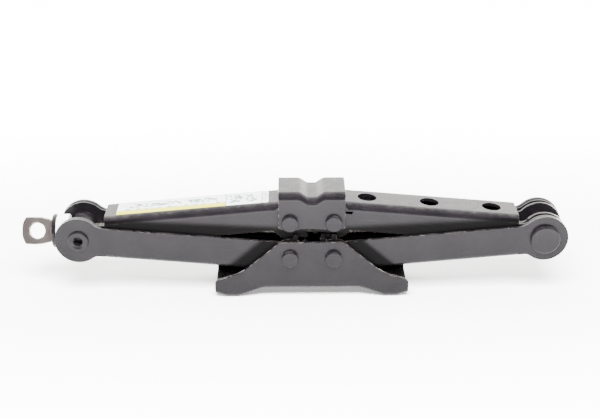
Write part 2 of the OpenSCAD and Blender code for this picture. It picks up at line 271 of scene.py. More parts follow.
def turned(profile: Sequence[Point], centre: Vector, axis: Axis, segments: int = 72) -> bmesh.types.BMesh:
    """Turns a profile about an axis.

    Args:
        profile: points (distance along the axis, radius), in metres. A radius of 0 closes an end, and a
            profile that ends where it starts makes a ring.
        centre: a point on the axis, from which distances are measured.
        axis: the axis.
        segments: steps round the axis.

    Returns:
        The turned mesh, with its faces outwards.
    """
    bm = bmesh.new()
    ring_shape = profile[0] == profile[-1]
    points = list(profile[:-1]) if ring_shape else list(profile)
    rings: list[list[bmesh.types.BMVert]] = []
    for along, radius in points:
        count = segments if radius > MERGE else 1
        ring = []
        for i in range(count):
            turn = 2 * math.pi * i / segments
            a, b = radius * math.cos(turn), radius * math.sin(turn)
            offset = Vector((along, a, b)) if axis is Axis.X else Vector((b, along, a))
            ring.append(bm.verts.new(centre + offset))
        rings.append(ring)
    pairs = list(zip(rings, rings[1:]))
    if ring_shape:
        pairs.append((rings[-1], rings[0]))
    for first, second in pairs:
        for i in range(segments):
            j = (i + 1) % segments
            corners = [ring[k % len(ring)] for ring, k in ((first, i), (first, j), (second, j), (second, i))]
            unique = list(dict.fromkeys(corners))
            if len(unique) > 2:
                bm.faces.new(unique)
    bmesh.ops.recalc_face_normals(bm, faces=bm.faces)
    return bm


def arc(centre: Point, radius: float, start_deg: float, end_deg: float, steps: int = 5) -> list[Point]:
    """Points on an arc.

    Args:
        centre: the arc's middle.
        radius: its radius.
        start_deg: its first angle.
        end_deg: its last angle.
        steps: spaces between its points.

    Returns:
        The points, both ends included.
    """
    angles = [math.radians(start_deg + (end_deg - start_deg) * i / steps) for i in range(steps + 1)]
    return [(centre[0] + radius * math.cos(a), centre[1] + radius * math.sin(a)) for a in angles]


def rounded_line(points: Sequence[tuple[float, float, float]], steps: int = 10) -> list[Point]:
    """Rounds the inner corners of an open line.

    Args:
        points: corners as (x, z, radius).
        steps: spaces along each rounding.

    Returns:
        The line's points.
    """
    line: list[Point] = [(points[0][0], points[0][1])]
    for before, here, after in zip(points, points[1:], points[2:]):
        p = Vector(here[:2])
        u = (Vector(before[:2]) - p).normalized()
        w = (Vector(after[:2]) - p).normalized()
        half = math.acos(max(-1.0, min(1.0, u.dot(w)))) / 2
        centre = p + (u + w).normalized() * here[2] / math.sin(half)
        first = p + u * here[2] / math.tan(half) - centre
        last = p + w * here[2] / math.tan(half) - centre
        start = math.atan2(first.y, first.x)
        turn = math.atan2(first.x * last.y - first.y * last.x, first.dot(last))
        line += arc(tuple(centre), here[2], math.degrees(start), math.degrees(start + turn), steps)
    line.append((points[-1][0], points[-1][1]))
    return line


def height_on(line: Sequence[Point], x: float) -> float:
    """Height of a line that runs along X, at one X.

    Args:
        line: its points, in rising X.
        x: where to read it.

    Returns:
        The height.
    """
    for (x0, z0), (x1, z1) in zip(line, line[1:]):
        if x <= x1 and x1 > x0:
            return z0 + (z1 - z0) * max(0.0, (x - x0) / (x1 - x0))
    return line[-1][1]


def channel_section(half_w: float, web: float, edge: float, up: int, bend: float = BEND,
                    bend_steps: int = 8) -> list[Point]:
    """Outline of a pressed channel across its length.

    Args:
        half_w: half its width over the flanges.
        web: height of the web's outer face.
        edge: height of the flanges' free edges.
        up: 1 where the flanges point up from the web, -1 where they point down.
        bend: outer radius of the bends.
        bend_steps: steps round each bend.

    Returns:
        The outline's points (y, z), always the same number.
    """
    inner = bend - SHEET
    outline: list[Point] = [(-half_w, edge)]
    centre_z = web + up * bend
    for side in (-1, 1):
        quarter = [90.0 * i / bend_steps for i in range(bend_steps + 1)]
        if side > 0:
            quarter.reverse()
        for a in quarter:
            r = math.radians(a)
            outline.append((side * (half_w - bend + bend * math.cos(r)), centre_z - up * bend * math.sin(r)))
    outline += [(half_w, edge), (half_w - SHEET, edge)]
    for side in (1, -1):
        quarter = [90.0 * i / bend_steps for i in range(bend_steps + 1)]
        if side < 0:
            quarter.reverse()
        for a in quarter:
            r = math.radians(a)
            inner_y = side * (half_w - bend + inner * math.cos(r))
            outline.append((inner_y, centre_z - up * inner * math.sin(r)))
    outline.append((-half_w + SHEET, edge))
    return outline


def loft(sections: Sequence[tuple[float, list[Point]]]) -> bmesh.types.BMesh:
    """Skins closed outlines that stand one behind another along X.

    Args:
        sections: pairs (x, outline in y and z), each outline with the same number of points.

    Returns:
        The closed mesh.
    """
    bm = bmesh.new()
    rings = [[bm.verts.new((x, y, z)) for y, z in outline] for x, outline in sections]
    count = len(rings[0])
    for first, second in zip(rings, rings[1:]):
        for i in range(count):
            j = (i + 1) % count
            bm.faces.new((first[i], first[j], second[j], second[i]))
    bm.faces.new(rings[0])
    bm.faces.new(list(reversed(rings[-1])))
    bmesh.ops.recalc_face_normals(bm, faces=bm.faces)
    return bm


def unit(value: float) -> float:
    """Holds a number between 0 and 1."""
    return max(0.0, min(1.0, value))


def spread(start: float, end: float, steps: int) -> list[float]:
    """Evenly spaced numbers, both ends included."""
    return [start + (end - start) * i / steps for i in range(steps + 1)]


# ---- Shader effects ----


class NodeBench:
    """A node tree with short ways to add nodes, set them and link them."""

    def __init__(self, tree: bpy.types.NodeTree) -> None:
        """Starts on a tree."""
        self.tree = tree

    def node(self, kind: str, **settings: object) -> bpy.types.Node:
        """Adds a node and sets its properties."""
        made = self.tree.nodes.new(kind)
        for key, value in settings.items():
            setattr(made, key, value)
        return made

    def join(self, source: bpy.types.NodeSocket, target: bpy.types.NodeSocket) -> None:
        """Links two sockets."""
        self.tree.links.new(source, target)

    def put(self, slot: bpy.types.NodeSocket, value: object) -> None:
        """Links a socket to a slot, or sets the slot to a plain value."""
        if isinstance(value, bpy.types.NodeSocket):
            self.join(value, slot)
        else:
            slot.default_value = value

    def math(self, operation: str, *values: object) -> bpy.types.NodeSocket:
        """Adds a Math node.

        Args:
            operation: the node's operation.
            values: numbers or sockets for its inputs.

        Returns:
            The result's socket.
        """
        made = self.node("ShaderNodeMath", operation=operation)
        for slot, value in zip(made.inputs, values):
            self.put(slot, value)
        return made.outputs[0]

    def ramp(self, value: bpy.types.NodeSocket, low: object, high: object,
             ends: tuple[float, float] = (0.0, 1.0)) -> bpy.types.NodeSocket:
        """Turns a value smoothly into one number below low and another above high.

        Args:
            value: the socket to read.
            low: where the result is the first of ends, as a number or a socket.
            high: where it is the second of ends, as a number or a socket.
            ends: the result at low and at high.

        Returns:
            The result's socket.
        """
        made = self.node("ShaderNodeMapRange", interpolation_type="SMOOTHSTEP")
        labels = ("Value", "From Min", "From Max", "To Min", "To Max")
        for label, limit in zip(labels, (value, low, high, *ends)):
            self.put(made.inputs[label], limit)
        return made.outputs["Result"]


class EffectGroup(NodeBench):
    """A shader node group with named inputs and outputs, built once and placed in any material."""

    def __init__(self, name: str, inputs: dict[str, float], outputs: Sequence[str]) -> None:
        """Makes the group with its sockets.

        Args:
            name: the group's name.
            inputs: default value of each input.
            outputs: names of the outputs, all single numbers.
        """
        super().__init__(bpy.data.node_groups.new(name, "ShaderNodeTree"))
        for label, value in inputs.items():
            socket = self.tree.interface.new_socket(name=label, in_out="INPUT", socket_type="NodeSocketFloat")
            socket.default_value = value
        for label in outputs:
            self.tree.interface.new_socket(name=label, in_out="OUTPUT", socket_type="NodeSocketFloat")
        self.source = self.node("NodeGroupInput")
        self.sink = self.node("NodeGroupOutput")

    def noise(self, scale: object, detail: float = 3.0,
              stretch: Optional[Vector] = None) -> bpy.types.NodeSocket:
        """Adds noise on the object's own coordinates.

        Args:
            scale: features per metre, as a number or a socket.
            detail: levels of finer noise.
            stretch: scale along each axis, where the noise isn't even.

        Returns:
            The noise's socket, from 0 to 1.
        """
        place = self.node("ShaderNodeTexCoord").outputs["Object"]
        if stretch is not None:
            mapping = self.node("ShaderNodeMapping")
            mapping.inputs["Scale"].default_value = stretch
            self.join(place, mapping.inputs["Vector"])
            place = mapping.outputs["Vector"]
        made = self.node("ShaderNodeTexNoise")
        made.inputs["Detail"].default_value = detail
        self.join(place, made.inputs["Vector"])
        self.put(made.inputs["Scale"], scale)
        return made.outputs[0]


def paint_skin_group() -> EffectGroup:
    """Unevenness of sprayed paint: slow patches of tone and gloss, and a fine orange-peel height.

    Returns:
        The group, with the outputs Patch and Peel.
    """
    group = EffectGroup("paint_skin", {"Patch Scale": 45.0, "Peel Scale": 900.0}, ("Patch", "Peel"))
    patch = group.noise(group.source.outputs["Patch Scale"], detail=4.0)
    peel = group.noise(group.source.outputs["Peel Scale"], detail=2.0)
    group.join(group.ramp(patch, 0.3, 0.7), group.sink.inputs["Patch"])
    group.join(peel, group.sink.inputs["Peel"])
    return group


def edge_wear_group() -> EffectGroup:
    """Worn corners: the rounded edges, broken up by noise.

    Returns:
        The group, with the output Mask.
    """
    group = EffectGroup("edge_wear", {"Amount": 0.5, "Chip Scale": 260.0}, ("Mask",))
    rim = group.node("ShaderNodeAttribute", attribute_name="rim").outputs["Fac"]
    corner = group.ramp(rim, 0.3, 0.9)
    chips = group.ramp(group.noise(group.source.outputs["Chip Scale"], detail=5.0), 0.46, 0.72)
    mask = group.math("MULTIPLY", group.math("MULTIPLY", corner, chips), group.source.outputs["Amount"])
    group.join(mask, group.sink.inputs["Mask"])
    return group


def scuff_group() -> EffectGroup:
    """Fine rubbed lines and smudges from handling.

    Returns:
        The group, with the outputs Lines and Smudge.
    """
    group = EffectGroup("scuffs", {"Amount": 0.4}, ("Lines", "Smudge"))
    along = group.noise(34.0, 4.0, Vector((1.2, 8.0, 26.0)))
    across = group.noise(30.0, 3.0, Vector((16.0, 6.0, 3.0)))
    fine = group.math("MAXIMUM", group.ramp(along, 0.64, 0.8), group.ramp(across, 0.66, 0.84))
    group.join(group.math("MULTIPLY", fine, group.source.outputs["Amount"]), group.sink.inputs["Lines"])
    smudge = group.ramp(group.noise(22.0, 5.0), 0.4, 0.85)
    group.join(group.math("MULTIPLY", smudge, group.source.outputs["Amount"]), group.sink.inputs["Smudge"])
    return group


def dust_group() -> EffectGroup:
    """Thin dust on faces that look up.

    Returns:
        The group, with the output Mask.
    """
    group = EffectGroup("settled_dust", {"Amount": 0.3}, ("Mask",))
    split = group.node("ShaderNodeSeparateXYZ")
    group.join(group.node("ShaderNodeNewGeometry").outputs["Normal"], split.inputs[0])
    flat = group.ramp(split.outputs["Z"], 0.6, 1.0)
    specks = group.ramp(group.noise(160.0, 6.0), 0.4, 0.75)
    mask = group.math("MULTIPLY", group.math("MULTIPLY", flat, specks), group.source.outputs["Amount"])
    group.join(mask, group.sink.inputs["Mask"])
    return group


@dataclass(frozen=True)
class Effects:
    """The shader effects that the finishes share."""

    skin: EffectGroup
    wear: EffectGroup
    scuffs: EffectGroup
    dust: EffectGroup

    @classmethod
    def build(cls) -> "Effects":
        """Builds every effect once.

        Returns:
            The effects.
        """
        return cls(paint_skin_group(), edge_wear_group(), scuff_group(), dust_group())


class MaterialSheet(NodeBench):
    """A material being written: its nodes, its Principled shader and short ways to link them."""

    def __init__(self, name: str) -> None:
        """Makes an empty material with a Principled shader.

        Args:
            name: the material's name.
        """
        self.material = bpy.data.materials.new(name)
        self.material.use_nodes = True
        super().__init__(self.material.node_tree)
        self.tree.nodes.clear()
        self.shader = self.node("ShaderNodeBsdfPrincipled")
        self.join(self.shader.outputs[0], self.node("ShaderNodeOutputMaterial").inputs[0])

    def effect(self, group: EffectGroup, **values: float) -> bpy.types.Node:
        """Places a shared effect.

        Args:
            group: the effect.
            values: its inputs, with _ for a space in their names.

        Returns:
            The group's node.
        """
        node = self.node("ShaderNodeGroup", node_tree=group.tree)
        for key, value in values.items():
            node.inputs[key.replace("_", " ")].default_value = value
        return node

    def mix(self, factor: object, first: object, second: object) -> bpy.types.NodeSocket:
        """Mixes two colours.

        Args:
            factor: number or socket.
            first: colour or socket where the factor is 0.
            second: colour or socket where it is 1.

        Returns:
            The mixed colour's socket.
        """
        node = self.node("ShaderNodeMix", data_type="RGBA")
        for index, value in ((0, factor), (6, first), (7, second)):
            self.put(node.inputs[index], value)
        return node.outputs[2]

    def blend(self, factor: bpy.types.NodeSocket, first: float, second: float) -> bpy.types.NodeSocket:
        """Mixes two numbers.

        Args:
            factor: socket.
            first: number where the factor is 0.
            second: number where it is 1.

        Returns:
            The mixed number's socket.
        """
        node = self.node("ShaderNodeMix", data_type="FLOAT")
        for index, value in ((0, factor), (2, first), (3, second)):
            self.put(node.inputs[index], value)
        return node.outputs[0]

    def feed(self, label: str, socket: bpy.types.NodeSocket) -> None:
        """Links a socket to one of the shader's inputs."""
        self.join(socket, self.shader.inputs[label])

    def fix(self, **values: object) -> None:
        """Sets constants on the shader's own sockets, with _ for a space in their names."""
        for key, value in values.items():
            self.shader.inputs[key.replace("_", " ")].default_value = value

    def bump(self, height: bpy.types.NodeSocket, distance: float, strength: float = 1.0) -> None:
        """Gives the surface a fine relief.

        Args:
            height: socket from 0 to 1.
            distance: height of the relief, in metres.
            strength: share of it that is used.
        """
        node = self.node("ShaderNodeBump")
        node.inputs["Strength"].default_value = strength
        node.inputs["Distance"].default_value = distance
        self.join(height, node.inputs["Height"])
        self.feed("Normal", node.outputs[0])


# ---- Finishes ----


@dataclass(frozen=True)
class PaintFinish:
    """Dark paint sprayed over pressed steel: glossy, worn at its corners, with painted shade on some faces.

    A point attribute marks the painted shade: 1 in the dark bands next to neighbouring parts, where the
    colour is darkened and the gloss coat is left out.
    """

    name: str
    slot: str
    effects: Effects
    colour: Colour = (0.0028, 0.0023, 0.0031, 1.0)
    patch_colour: Colour = (0.0045, 0.0038, 0.0046, 1.0)
    rubbed_colour: Colour = (0.018, 0.0165, 0.0165, 1.0)
    # painted shade: the darker colour of the bands next to neighbouring parts
    painted_shade_colour: Colour = (0.0012, 0.0011, 0.0012, 1.0)
    worn_colour: Colour = (0.2, 0.18, 0.155, 1.0)
    dust_colour: Colour = (0.3, 0.28, 0.25, 1.0)
    coat_ior: float = 1.2
    coat_gloss: float = 0.2
    under_sheen: float = 0.03
    under_dull: float = 0.55
    wear: float = 0.42
    scuff: float = 0.22
    dust: float = 0.04
    smudge_loss: float = 0.6
    peel_height: float = 0.005 * MM

    def material(self) -> bpy.types.Material:
        """Builds the finish's material.

        Returns:
            The material.
        """
        sheet = MaterialSheet(self.name)
        skin = sheet.effect(self.effects.skin)
        worn = sheet.effect(self.effects.wear, Amount=self.wear)
        scuffed = sheet.effect(self.effects.scuffs, Amount=self.scuff)
        dusty = sheet.effect(self.effects.dust, Amount=self.dust)
        # painted shade: this attribute darkens the colour in the bands next to neighbouring parts and takes
        # the gloss coat away there
        painted_shade = sheet.node("ShaderNodeAttribute", attribute_name="painted_shade")
        tone = sheet.mix(skin.outputs["Patch"], self.colour, self.patch_colour)
        tone = sheet.mix(dusty.outputs["Mask"], tone, self.dust_colour)
        rubbed = sheet.mix(scuffed.outputs["Lines"], tone, self.rubbed_colour)
        rubbed = sheet.mix(painted_shade.outputs["Fac"], rubbed, self.painted_shade_colour)
        sheet.feed("Base Color", sheet.mix(worn.outputs["Mask"], rubbed, self.worn_colour))
        dull = sheet.math("ADD", self.under_dull, sheet.math("MULTIPLY", scuffed.outputs["Lines"], 0.2))
        polish = sheet.math("MULTIPLY", worn.outputs["Mask"], 0.3)
        sheet.feed("Roughness", sheet.math("SUBTRACT", dull, polish))
        sheet.feed("Metallic", sheet.math("MULTIPLY", worn.outputs["Mask"], 0.7))
        # painted shade also removes the coat's reflection in the same bands
        kept = sheet.math("SUBTRACT", 1.0, painted_shade.outputs["Fac"])
        smudged = sheet.math("MULTIPLY", scuffed.outputs["Smudge"], self.smudge_loss)
        kept = sheet.math("MULTIPLY", kept, sheet.math("SUBTRACT", 1.0, smudged))
        sheet.feed("Coat Weight", sheet.math("MAXIMUM", kept, 0.0))
        sheet.fix(Coat_Roughness=self.coat_gloss, Coat_IOR=self.coat_ior, Specular_IOR_Level=self.under_sheen)
        sheet.bump(skin.outputs["Peel"], self.peel_height)
        return sheet.material


@dataclass(frozen=True)
class MetalFinish:
    """Bare or plated steel with turning marks and a trace of grease."""

    name: str
    slot: str
    effects: Effects
    colour: Colour
    stain: Colour
    gloss: float
    metallic: float = 1.0
    wear: float = 0.2

    def material(self) -> bpy.types.Material:
        """Builds the finish's material.

        Returns:
            The material.
        """
        sheet = MaterialSheet(self.name)
        skin = sheet.effect(self.effects.skin, Patch_Scale=120.0, Peel_Scale=2600.0)
        scuffed = sheet.effect(self.effects.scuffs, Amount=0.5)
        worn = sheet.effect(self.effects.wear, Amount=self.wear)
        tone = sheet.mix(skin.outputs["Patch"], self.colour, self.stain)
        sheet.feed("Base Color", sheet.mix(worn.outputs["Mask"], tone, (0.8, 0.78, 0.75, 1.0)))
        gloss = sheet.blend(skin.outputs["Patch"], self.gloss, self.gloss + 0.12)
        scratches = sheet.math("MULTIPLY", scuffed.outputs["Lines"], 0.2)
        sheet.feed("Roughness", sheet.math("ADD", gloss, scratches))
        sheet.fix(Metallic=self.metallic)
        sheet.bump(skin.outputs["Peel"], 0.004 * MM)
        return sheet.material


@dataclass(frozen=True)
class LabelFinish:
    """Film with plain panels: a yellow strip, rows of grey blots, and a hatched end. It has no lettering."""

    name: str
    slot: str
    effects: Effects
    paper: Colour = (0.5, 0.515, 0.53, 1.0)
    ink: Colour = (0.035, 0.038, 0.055, 1.0)
    yellow: Colour = (0.36, 0.33, 0.001, 1.0)
    green: Colour = (0.02, 0.2, 0.13, 1.0)
    smeared: Colour = (0.42, 0.437, 0.455, 1.0)
    strip_end: float = 0.718
    strip_top: float = 0.31
    hatch_line: float = 0.955
    line_w: float = 0.005
    rows: tuple[Box, ...] = ((0.04, 0.66, 0.5, 0.82), (0.04, 0.68, 0.3, 0.4), (0.745, 0.93, 0.2, 0.84))
    spot: Box = (0.5, 0.545, 0.6, 0.8)
    hatched: Box = (0.965, 0.992, 0.1, 0.9)
    hatch_lines: float = 26.0
    marks_per_side: tuple[float, float, float] = (34.0, 6.0, 1.0)
    mark_size: float = 0.5

    @staticmethod
    def box_mask(sheet: MaterialSheet, uv: tuple[bpy.types.NodeSocket, bpy.types.NodeSocket],
                 box: Box) -> bpy.types.NodeSocket:
        """A mask that is 1 inside a box of the label.

        Args:
            sheet: the material being written.
            uv: places along and across the label, from 0 to 1.
            box: lowest and highest u, then lowest and highest v.

        Returns:
            The mask's socket.
        """
        mask = None
        for i, limit in enumerate(box):
            part = sheet.math("LESS_THAN" if i % 2 else "GREATER_THAN", uv[i // 2], limit)
            mask = part if mask is None else sheet.math("MULTIPLY", mask, part)
        return mask

    def marks(self, sheet: MaterialSheet, uv_map: bpy.types.NodeSocket) -> bpy.types.NodeSocket:
        """A mask of small blots in rows, in place of print.

        Args:
            sheet: the material being written.
            uv_map: the label's own places.

        Returns:
            The mask's socket.
        """
        cells = sheet.node("ShaderNodeTexVoronoi", feature="F1")
        cells.inputs["Scale"].default_value = 1.0
        stretch = sheet.node("ShaderNodeMapping")
        stretch.inputs["Scale"].default_value = self.marks_per_side
        sheet.join(uv_map, stretch.inputs["Vector"])
        sheet.join(stretch.outputs[0], cells.inputs["Vector"])
        return sheet.math("LESS_THAN", cells.outputs["Distance"], self.mark_size)

    def material(self) -> bpy.types.Material:
        """Builds the finish's material.

        Returns:
            The material.
        """
        sheet = MaterialSheet(self.name)
        uv_map = sheet.node("ShaderNodeUVMap", uv_map="film").outputs[0]
        split = sheet.node("ShaderNodeSeparateXYZ")
        sheet.join(uv_map, split.inputs[0])
        uv = (split.outputs["X"], split.outputs["Y"])
        smear = sheet.effect(self.effects.skin, Patch_Scale=60.0, Peel_Scale=500.0)
        rows = None
        for row in self.rows:
            mask = self.box_mask(sheet, uv, row)
            rows = mask if rows is None else sheet.math("MAXIMUM", rows, mask)
        hatch = sheet.math("FRACT", sheet.math("MULTIPLY", uv[1], self.hatch_lines))
        hatch = sheet.math("GREATER_THAN", hatch, 0.5)
        lines = [(x, x + self.line_w, 0.0, 1.0) for x in (self.strip_end, self.hatch_line)]
        layers = [
            (sheet.math("MULTIPLY", self.marks(sheet, uv_map), rows), 0.85, self.ink),
            (self.box_mask(sheet, uv, self.spot), 0.7, self.green),
            *[(self.box_mask(sheet, uv, line), 1.0, self.ink) for line in lines],
            (sheet.math("MULTIPLY", hatch, self.box_mask(sheet, uv, self.hatched)), 0.6, self.ink),
            (self.box_mask(sheet, uv, (0.0, self.strip_end, 0.0, self.strip_top)), 1.0, self.yellow),
        ]
        tone = sheet.mix(smear.outputs["Patch"], self.paper, self.smeared)
        for mask, share, colour in layers:
            tone = sheet.mix(sheet.math("MULTIPLY", mask, share), tone, colour)
        sheet.feed("Base Color", tone)
        sheet.feed("Roughness", sheet.blend(smear.outputs["Patch"], 0.3, 0.42))
        sheet.fix(Specular_IOR_Level=0.2)
        sheet.bump(smear.outputs["Peel"], 0.01 * MM)
        return sheet.material


@dataclass(frozen=True)
class DressedFinish:
    """A finish's material with the record's slot that it belongs to."""

    slot: str
    material: bpy.types.Material

    def dress_node(self, node: str) -> None:
        """Gives a CAD node that stays this finish's material."""
        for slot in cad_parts[node].material_slots:
            slot.material = self.material


class FinishShelf:
    """Every finish of the jack, made once."""

    def __init__(self) -> None:
        """Builds the shared effects and all finishes."""
        effects = Effects.build()
        self.paint = self._made(PaintFinish("black_paint", "black_paint", effects))
        self.pin_paint = self._made(PaintFinish("pin_paint", "pin_paint", effects, coat_gloss=0.24, wear=0.6))
        self.eye_paint = self._made(PaintFinish(
            "eye_paint", "eye_paint", effects, colour=(0.02, 0.0172, 0.0165, 1.0),
            patch_colour=(0.03, 0.0255, 0.024, 1.0),
            rubbed_colour=(0.06, 0.05, 0.046, 1.0), worn_colour=(0.36, 0.32, 0.28, 1.0),
            coat_gloss=0.34, wear=0.8,
        ))
        self.screw_steel = self._made(MetalFinish(
            "screw_steel", "screw_steel", effects, (0.075, 0.069, 0.062, 1.0),
            (0.032, 0.028, 0.024, 1.0), 0.3,
        ))
        self.zinc = self._made(MetalFinish(
            "bright_zinc", "bright_zinc", effects, (0.93, 0.93, 0.92, 1.0),
            (0.82, 0.83, 0.84, 1.0), 0.38, 0.35,
        ))
        self.film = self._made(LabelFinish("label_film", "label_film", effects))

    @staticmethod
    def _made(finish: "PaintFinish | MetalFinish | LabelFinish") -> DressedFinish:
        """Builds one finish's material."""
        return DressedFinish(finish.slot, finish.material())


# ---- Geometry Nodes trees ----


class ShapeTree(NodeBench):
    """A Geometry Nodes tree with named inputs, used as a modifier and then settled into a plain mesh."""

    def __init__(self, name: str, inputs: dict[str, tuple[str, object]]) -> None:
        """Makes the tree with its sockets.

        Args:
            name: the tree's name.
            inputs: for each input its socket type and default value.
        """
        super().__init__(bpy.data.node_groups.new(name, "GeometryNodeTree"))
        self.tree.interface.new_socket(name="Geometry", in_out="INPUT", socket_type="NodeSocketGeometry")
        self.keys: dict[str, str] = {}
        for label, (kind, value) in inputs.items():
            socket = self.tree.interface.new_socket(name=label, in_out="INPUT", socket_type=kind)
            if value is not None:
                socket.default_value = value
            self.keys[label] = socket.identifier
        self.tree.interface.new_socket(name="Geometry", in_out="OUTPUT", socket_type="NodeSocketGeometry")
        self.source = self.node("NodeGroupInput")
        self.sink = self.node("NodeGroupOutput")

    def end(self, geometry: bpy.types.NodeSocket) -> None:
        """Ends the tree in Realize Instances and Set Material.

        Args:
            geometry: what the tree has made.
        """
        smooth = self.node("GeometryNodeSetShadeSmooth")
        real = self.node("GeometryNodeRealizeInstances")
        dressed = self.node("GeometryNodeSetMaterial")
        self.join(geometry, smooth.inputs["Geometry"])
        self.join(smooth.outputs[0], real.inputs[0])
        self.join(real.outputs[0], dressed.inputs["Geometry"])
        self.join(self.source.outputs["Material"], dressed.inputs["Material"])
        self.join(dressed.outputs[0], self.sink.inputs[0])

    def make(self, piece: bpy.types.Object, values: dict[str, object]) -> None:
        """Runs the tree on a piece and keeps the result as its plain mesh.

        Args:
            piece: the piece.
            values: the tree's inputs, by name.
        """
        modifier = piece.modifiers.new("shape", "NODES")
        modifier.node_group = self.tree
        for label, value in values.items():
            modifier[self.keys[label]] = value
        settle(piece)


def rivet_tree() -> ShapeTree:
    """A round bar skinned on a line of points, each with its own girth, such as a riveted pin.

    Returns:
        The tree. Its geometry is the line, with the attribute girth.
    """
    tree = ShapeTree("riveted_bar", {
        "Segments": ("NodeSocketInt", 64),
        "Material": ("NodeSocketMaterial", None),
    })
    line = tree.node("GeometryNodeMeshToCurve")
    tree.join(tree.source.outputs["Geometry"], line.inputs["Mesh"])
    girth = tree.node("GeometryNodeInputNamedAttribute", data_type="FLOAT")
    girth.inputs["Name"].default_value = "girth"
    circle = tree.node("GeometryNodeCurvePrimitiveCircle")
    circle.inputs["Radius"].default_value = 1.0
    tree.join(tree.source.outputs["Segments"], circle.inputs["Resolution"])
    skin = tree.node("GeometryNodeCurveToMesh")
    skin.inputs["Fill Caps"].default_value = True
    tree.join(line.outputs[0], skin.inputs["Curve"])
    tree.join(circle.outputs["Curve"], skin.inputs["Profile Curve"])
    if "Scale" in skin.inputs:
        tree.join(girth.outputs["Attribute"], skin.inputs["Scale"])
    else:
        sized = tree.node("GeometryNodeSetCurveRadius")
        tree.join(line.outputs[0], sized.inputs["Curve"])
        tree.join(girth.outputs["Attribute"], sized.inputs["Radius"])
        tree.join(sized.outputs[0], skin.inputs["Curve"])
    tree.end(skin.outputs[0])
    return tree


def thread_tree() -> ShapeTree:
    """A trapezoid thread wound about X on a core, for the lead screw.

    Returns:
        The tree. Its geometry input isn't used.
    """
    tree = ShapeTree("lead_thread", {
        "Start": ("NodeSocketFloat", 0.0),
        "Length": ("NodeSocketFloat", 0.1),
        "Height": ("NodeSocketFloat", 0.0),
        "Lead": ("NodeSocketFloat", 0.003),
        "Crest Radius": ("NodeSocketFloat", 0.006),
        "Root Radius": ("NodeSocketFloat", 0.0045),
        "Steps": ("NodeSocketInt", 20),
        "Material": ("NodeSocketMaterial", None),
    })
    inputs = tree.source.outputs
    spiral = tree.node("GeometryNodeCurveSpiral")
    tree.join(inputs["Steps"], spiral.inputs["Resolution"])
    tree.join(tree.math("DIVIDE", inputs["Length"], inputs["Lead"]), spiral.inputs["Rotations"])
    for label in ("Start Radius", "End Radius"):
        tree.join(inputs["Root Radius"], spiral.inputs[label])
    tree.join(inputs["Length"], spiral.inputs["Height"])
    upright = tree.node("GeometryNodeSetCurveNormal")
    upright.mode = "Z_UP"
    tree.join(spiral.outputs[0], upright.inputs["Curve"])
    section = tree.node("GeometryNodeCurvePrimitiveQuadrilateral", mode="TRAPEZOID")
    deep = tree.math("SUBTRACT", inputs["Crest Radius"], inputs["Root Radius"])
    tree.join(tree.math("MULTIPLY", inputs["Lead"], 0.8), section.inputs["Bottom Width"])
    tree.join(tree.math("MULTIPLY", inputs["Lead"], 0.32), section.inputs["Top Width"])
    tree.join(tree.math("MULTIPLY", deep, 2.0), section.inputs["Height"])
    section.inputs["Offset"].default_value = 0.0
    turn = tree.node("GeometryNodeTransform")
    turn.inputs["Rotation"].default_value = (0.0, 0.0, -math.pi / 2)
    tree.join(section.outputs[0], turn.inputs["Geometry"])
    ridge = tree.node("GeometryNodeCurveToMesh")
    ridge.inputs["Fill Caps"].default_value = True
    tree.join(upright.outputs[0], ridge.inputs["Curve"])
    tree.join(turn.outputs[0], ridge.inputs["Profile Curve"])
    core = tree.node("GeometryNodeMeshCylinder")
    core.inputs["Vertices"].default_value = 40
    tree.join(inputs["Root Radius"], core.inputs["Radius"])
    tree.join(inputs["Length"], core.inputs["Depth"])
    raised = tree.node("GeometryNodeTransform")
    lift = tree.node("ShaderNodeCombineXYZ")
    tree.join(tree.math("MULTIPLY", inputs["Length"], 0.5), lift.inputs["Z"])
    tree.join(core.outputs[0], raised.inputs["Geometry"])
    tree.join(lift.outputs[0], raised.inputs["Translation"])
    both = tree.node("GeometryNodeJoinGeometry")
    tree.join(ridge.outputs[0], both.inputs[0])
    tree.join(raised.outputs[0], both.inputs[0])
    laid = tree.node("GeometryNodeTransform")
    laid.inputs["Rotation"].default_value = (0.0, math.pi / 2, 0.0)
    place = tree.node("ShaderNodeCombineXYZ")
    tree.join(inputs["Start"], place.inputs["X"])
    tree.join(inputs["Height"], place.inputs["Z"])
    tree.join(both.outputs[0], laid.inputs["Geometry"])
    tree.join(place.outputs[0], laid.inputs["Translation"])
    tree.end(laid.outputs[0])
    return tree


# ---- Sub-assemblies ----


@dataclass
class Placement:
    """Says which body a piece rides on, which CAD node it stands for, and its finish."""

    body: str
    node: str
    finish: DressedFinish

    def put(self, piece: bpy.types.Object) -> None:
        """Finishes a piece and hands it to the frame.

        Args:
            piece: the piece, in place.
        """
        if not piece.data.materials:
            piece.data.materials.append(self.finish.material)
        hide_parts(self.node)
        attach(piece, self.body)
        log.info("%s stands for %s on %s", piece.name, self.node, self.body)


